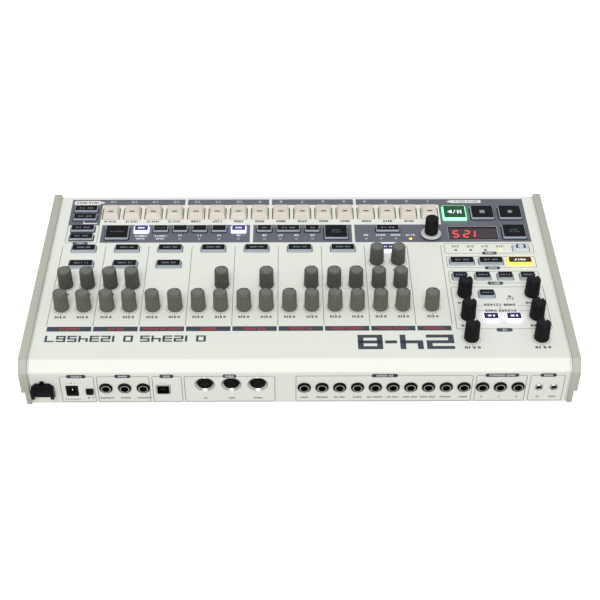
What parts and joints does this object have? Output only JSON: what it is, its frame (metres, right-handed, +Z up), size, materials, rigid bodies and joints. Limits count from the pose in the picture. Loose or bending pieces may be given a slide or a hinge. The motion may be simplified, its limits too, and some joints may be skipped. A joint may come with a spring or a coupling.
{
  "type": "drum machine",
  "caption": "Desktop drum machine: sloping metal case between side cheeks, rows of knobs and push keys, a red display and a rear panel of sockets.",
  "frame": {"origin": "on the standing surface, under the middle of the machine's overall box", "axes": "+X to the player's right, +Y to the rear where the sockets are, +Z up"},
  "size_m": [0.498, 0.264, 0.0699],
  "materials": {
    "case_paint": "fine satin powder coat, off-white",
    "tray_paint": "satin powder coat, off-white",
    "cheek": "fine-grained grey moulding",
    "feet": "matt",
    "board": "green solder mask",
    "spacer_brass": "bright turned",
    "screw_steel": "zinc plated",
    "pot_body": "moulded",
    "switch_body": "moulded",
    "light_pipe": "clear moulding",
    "display_smoke": "dark red filter sheet",
    "socket_black": "moulded black",
    "button_black": "moulded black",
    "black_knob": "satin black",
    "grey_knob": "satin grey-green",
    "step_key": "beige moulding",
    "key_skirt": "grey translucent skirt with a dark insert",
    "panel_print": "silk-screened marks on the panel and the rear wall"
  },
  "bodies": {
    "case": {"top_cover": "case_paint", "bottom_tray": "tray_paint", "left_cheek": "cheek", "right_cheek": "cheek", "rubber_feet": "feet", "control_board": "board", "board_spacers": "spacer_brass", "case_screws": "screw_steel", "potentiometers": "pot_body", "key_switches": "switch_body", "status_lights": "light_pipe", "display": "display_smoke", "jack_board": "board", "audio_jacks": "socket_black", "rear_sockets": "socket_black", "cable_hook": "socket_black"},
    "step_keys_1_to_8": {"step_keys_1_to_8": "step_key"},
    "step_keys_9_to_16": {"step_keys_9_to_16": "step_key"},
    "transport_and_track_keys": {"transport_and_track_keys": "key_skirt"},
    "voice_select_keys": {"voice_select_keys": "key_skirt"},
    "mode_keys": {"mode_keys": "key_skirt"},
    "function_keys": {"function_keys": "key_skirt"},
    "tempo_dial": {"tempo_dial": "black_knob"},
    "power_button": {"power_button": "button_black"},
    "level_knob_1": {"level_knob_1": "grey_knob"},
    "level_knob_2": {"level_knob_2": "grey_knob"},
    "level_knob_3": {"level_knob_3": "grey_knob"},
    "level_knob_4": {"level_knob_4": "grey_knob"},
    "level_knob_5": {"level_knob_5": "grey_knob"},
    "level_knob_6": {"level_knob_6": "grey_knob"},
    "level_knob_7": {"level_knob_7": "grey_knob"},
    "level_knob_8": {"level_knob_8": "grey_knob"},
    "level_knob_9": {"level_knob_9": "grey_knob"},
    "level_knob_10": {"level_knob_10": "grey_knob"},
    "level_knob_11": {"level_knob_11": "grey_knob"},
    "level_knob_12": {"level_knob_12": "grey_knob"},
    "level_knob_13": {"level_knob_13": "grey_knob"},
    "level_knob_14": {"level_knob_14": "grey_knob"},
    "level_knob_15": {"level_knob_15": "grey_knob"},
    "level_knob_16": {"level_knob_16": "grey_knob"},
    "level_knob_17": {"level_knob_17": "grey_knob"},
    "tune_knob_1": {"tune_knob_1": "grey_knob"},
    "tune_knob_2": {"tune_knob_2": "grey_knob"},
    "tune_knob_3": {"tune_knob_3": "grey_knob"},
    "tune_knob_4": {"tune_knob_4": "grey_knob"},
    "tune_knob_5": {"tune_knob_5": "grey_knob"},
    "tune_knob_6": {"tune_knob_6": "grey_knob"},
    "tune_knob_7": {"tune_knob_7": "grey_knob"},
    "tune_knob_8": {"tune_knob_8": "grey_knob"},
    "tune_knob_9": {"tune_knob_9": "grey_knob"},
    "tune_knob_10": {"tune_knob_10": "grey_knob"},
    "tune_knob_11": {"tune_knob_11": "grey_knob"},
    "decay_knob_1": {"decay_knob_1": "grey_knob"},
    "decay_knob_2": {"decay_knob_2": "grey_knob"},
    "output_knob_1": {"output_knob_1": "black_knob"},
    "output_knob_2": {"output_knob_2": "black_knob"},
    "output_knob_3": {"output_knob_3": "black_knob"},
    "output_knob_4": {"output_knob_4": "black_knob"},
    "output_knob_5": {"output_knob_5": "black_knob"},
    "output_knob_6": {"output_knob_6": "black_knob"}
  },
  "joints": [
    {"name": "step_keys_1_to_8_press", "type": "slide", "parent": "case", "child": "step_keys_1_to_8", "axis": [0, 0.0785, -0.9969], "range_m": [0, 0.001], "stiffness_N_per_m": 500, "springref_m": -0.002},
    {"name": "step_keys_9_to_16_press", "type": "slide", "parent": "case", "child": "step_keys_9_to_16", "axis": [0, 0.0785, -0.9969], "range_m": [0, 0.001], "stiffness_N_per_m": 500, "springref_m": -0.002},
    {"name": "transport_and_track_keys_press", "type": "slide", "parent": "case", "child": "transport_and_track_keys", "axis": [0, 0.0785, -0.9969], "range_m": [0, 0.001], "stiffness_N_per_m": 500, "springref_m": -0.002},
    {"name": "voice_select_keys_press", "type": "slide", "parent": "case", "child": "voice_select_keys", "axis": [0, 0.0785, -0.9969], "range_m": [0, 0.001], "stiffness_N_per_m": 500, "springref_m": -0.002},
    {"name": "mode_keys_press", "type": "slide", "parent": "case", "child": "mode_keys", "axis": [0, 0.0785, -0.9969], "range_m": [0, 0.001], "stiffness_N_per_m": 500, "springref_m": -0.002},
    {"name": "function_keys_press", "type": "slide", "parent": "case", "child": "function_keys", "axis": [0, 0.0785, -0.9969], "range_m": [0, 0.001], "stiffness_N_per_m": 500, "springref_m": -0.002},
    {"name": "tempo_dial_turn", "type": "hinge", "parent": "case", "child": "tempo_dial", "pos_m": [-0.13132, -0.06482, 0.03836], "axis": [0, -0.0785, 0.9969], "continuous": true},
    {"name": "power_button_press", "type": "slide", "parent": "case", "child": "power_button", "axis": [0, -1, 0], "range_m": [0, 0.0016], "stiffness_N_per_m": 500, "springref_m": -0.002},
    {"name": "level_knob_1_turn", "type": "hinge", "parent": "case", "child": "level_knob_1", "pos_m": [-0.12275, 0.04583, 0.04707], "axis": [0, -0.0785, 0.9969], "range_deg": [-300, 0]},
    {"name": "level_knob_2_turn", "type": "hinge", "parent": "case", "child": "level_knob_2", "pos_m": [-0.0957, 0.04583, 0.04707], "axis": [0, -0.0785, 0.9969], "range_deg": [-300, 0]},
    {"name": "level_knob_3_turn", "type": "hinge", "parent": "case", "child": "level_knob_3", "pos_m": [-0.0751, 0.04583, 0.04707], "axis": [0, -0.0785, 0.9969], "range_deg": [-300, 0]},
    {"name": "level_knob_4_turn", "type": "hinge", "parent": "case", "child": "level_knob_4", "pos_m": [-0.0536, 0.04583, 0.04707], "axis": [0, -0.0785, 0.9969], "range_deg": [-300, 0]},
    {"name": "level_knob_5_turn", "type": "hinge", "parent": "case", "child": "level_knob_5", "pos_m": [-0.033, 0.04583, 0.04707], "axis": [0, -0.0785, 0.9969], "range_deg": [-300, 0]},
    {"name": "level_knob_6_turn", "type": "hinge", "parent": "case", "child": "level_knob_6", "pos_m": [-0.0115, 0.04583, 0.04707], "axis": [0, -0.0785, 0.9969], "range_deg": [-300, 0]},
    {"name": "level_knob_7_turn", "type": "hinge", "parent": "case", "child": "level_knob_7", "pos_m": [0.0091, 0.04583, 0.04707], "axis": [0, -0.0785, 0.9969], "range_deg": [-300, 0]},
    {"name": "level_knob_8_turn", "type": "hinge", "parent": "case", "child": "level_knob_8", "pos_m": [0.0306, 0.04583, 0.04707], "axis": [0, -0.0785, 0.9969], "range_deg": [-300, 0]},
    {"name": "level_knob_9_turn", "type": "hinge", "parent": "case", "child": "level_knob_9", "pos_m": [0.0512, 0.04583, 0.04707], "axis": [0, -0.0785, 0.9969], "range_deg": [-300, 0]},
    {"name": "level_knob_10_turn", "type": "hinge", "parent": "case", "child": "level_knob_10", "pos_m": [0.0727, 0.04583, 0.04707], "axis": [0, -0.0785, 0.9969], "range_deg": [-300, 0]},
    {"name": "level_knob_11_turn", "type": "hinge", "parent": "case", "child": "level_knob_11", "pos_m": [0.0933, 0.04583, 0.04707], "axis": [0, -0.0785, 0.9969], "range_deg": [-300, 0]},
    {"name": "level_knob_12_turn", "type": "hinge", "parent": "case", "child": "level_knob_12", "pos_m": [0.1148, 0.04583, 0.04707], "axis": [0, -0.0785, 0.9969], "range_deg": [-300, 0]},
    {"name": "level_knob_13_turn", "type": "hinge", "parent": "case", "child": "level_knob_13", "pos_m": [0.1354, 0.04583, 0.04707], "axis": [0, -0.0785, 0.9969], "range_deg": [-300, 0]},
    {"name": "level_knob_14_turn", "type": "hinge", "parent": "case", "child": "level_knob_14", "pos_m": [0.1569, 0.04583, 0.04707], "axis": [0, -0.0785, 0.9969], "range_deg": [-300, 0]},
    {"name": "level_knob_15_turn", "type": "hinge", "parent": "case", "child": "level_knob_15", "pos_m": [0.1775, 0.04583, 0.04707], "axis": [0, -0.0785, 0.9969], "range_deg": [-300, 0]},
    {"name": "level_knob_16_turn", "type": "hinge", "parent": "case", "child": "level_knob_16", "pos_m": [0.199, 0.04583, 0.04707], "axis": [0, -0.0785, 0.9969], "range_deg": [-300, 0]},
    {"name": "level_knob_17_turn", "type": "hinge", "parent": "case", "child": "level_knob_17", "pos_m": [0.2196, 0.04583, 0.04707], "axis": [0, -0.0785, 0.9969], "range_deg": [-300, 0]},
    {"name": "tune_knob_1_turn", "type": "hinge", "parent": "case", "child": "tune_knob_1", "pos_m": [-0.0957, 0.01323, 0.0445], "axis": [0, -0.0785, 0.9969], "range_deg": [-300, 0]},
    {"name": "tune_knob_2_turn", "type": "hinge", "parent": "case", "child": "tune_knob_2", "pos_m": [-0.0751, 0.01323, 0.0445], "axis": [0, -0.0785, 0.9969], "range_deg": [-300, 0]},
    {"name": "tune_knob_3_turn", "type": "hinge", "parent": "case", "child": "tune_knob_3", "pos_m": [-0.0536, 0.01323, 0.0445], "axis": [0, -0.0785, 0.9969], "range_deg": [-300, 0]},
    {"name": "tune_knob_4_turn", "type": "hinge", "parent": "case", "child": "tune_knob_4", "pos_m": [-0.033, 0.01323, 0.0445], "axis": [0, -0.0785, 0.9969], "range_deg": [-300, 0]},
    {"name": "tune_knob_5_turn", "type": "hinge", "parent": "case", "child": "tune_knob_5", "pos_m": [-0.0115, 0.01323, 0.0445], "axis": [0, -0.0785, 0.9969], "range_deg": [-300, 0]},
    {"name": "tune_knob_6_turn", "type": "hinge", "parent": "case", "child": "tune_knob_6", "pos_m": [0.0306, 0.01323, 0.0445], "axis": [0, -0.0785, 0.9969], "range_deg": [-300, 0]},
    {"name": "tune_knob_7_turn", "type": "hinge", "parent": "case", "child": "tune_knob_7", "pos_m": [0.0727, 0.01323, 0.0445], "axis": [0, -0.0785, 0.9969], "range_deg": [-300, 0]},
    {"name": "tune_knob_8_turn", "type": "hinge", "parent": "case", "child": "tune_knob_8", "pos_m": [0.1569, 0.01323, 0.0445], "axis": [0, -0.0785, 0.9969], "range_deg": [-300, 0]},
    {"name": "tune_knob_9_turn", "type": "hinge", "parent": "case", "child": "tune_knob_9", "pos_m": [0.1775, 0.01323, 0.0445], "axis": [0, -0.0785, 0.9969], "range_deg": [-300, 0]},
    {"name": "tune_knob_10_turn", "type": "hinge", "parent": "case", "child": "tune_knob_10", "pos_m": [0.199, 0.01323, 0.0445], "axis": [0, -0.0785, 0.9969], "range_deg": [-300, 0]},
    {"name": "tune_knob_11_turn", "type": "hinge", "parent": "case", "child": "tune_knob_11", "pos_m": [0.2196, 0.01323, 0.0445], "axis": [0, -0.0785, 0.9969], "range_deg": [-300, 0]},
    {"name": "decay_knob_1_turn", "type": "hinge", "parent": "case", "child": "decay_knob_1", "pos_m": [-0.0957, -0.02236, 0.0417], "axis": [0, -0.0785, 0.9969], "range_deg": [-300, 0]},
    {"name": "decay_knob_2_turn", "type": "hinge", "parent": "case", "child": "decay_knob_2", "pos_m": [-0.0751, -0.02236, 0.0417], "axis": [0, -0.0785, 0.9969], "range_deg": [-300, 0]},
    {"name": "output_knob_1_turn", "type": "hinge", "parent": "case", "child": "output_knob_1", "pos_m": [-0.21805, 0.02759, 0.04563], "axis": [0, -0.0785, 0.9969], "range_deg": [-300, 0]},
    {"name": "output_knob_2_turn", "type": "hinge", "parent": "case", "child": "output_knob_2", "pos_m": [-0.15485, 0.02759, 0.04563], "axis": [0, -0.0785, 0.9969], "range_deg": [-300, 0]},
    {"name": "output_knob_3_turn", "type": "hinge", "parent": "case", "child": "output_knob_3", "pos_m": [-0.21805, 0.05979, 0.04816], "axis": [0, -0.0785, 0.9969], "range_deg": [-300, 0]},
    {"name": "output_knob_4_turn", "type": "hinge", "parent": "case", "child": "output_knob_4", "pos_m": [-0.15485, 0.05979, 0.04816], "axis": [0, -0.0785, 0.9969], "range_deg": [-300, 0]},
    {"name": "output_knob_5_turn", "type": "hinge", "parent": "case", "child": "output_knob_5", "pos_m": [-0.21805, 0.0896, 0.05051], "axis": [0, -0.0785, 0.9969], "range_deg": [-300, 0]},
    {"name": "output_knob_6_turn", "type": "hinge", "parent": "case", "child": "output_knob_6", "pos_m": [-0.15485, 0.0896, 0.05051], "axis": [0, -0.0785, 0.9969], "range_deg": [-300, 0]}
  ]
}
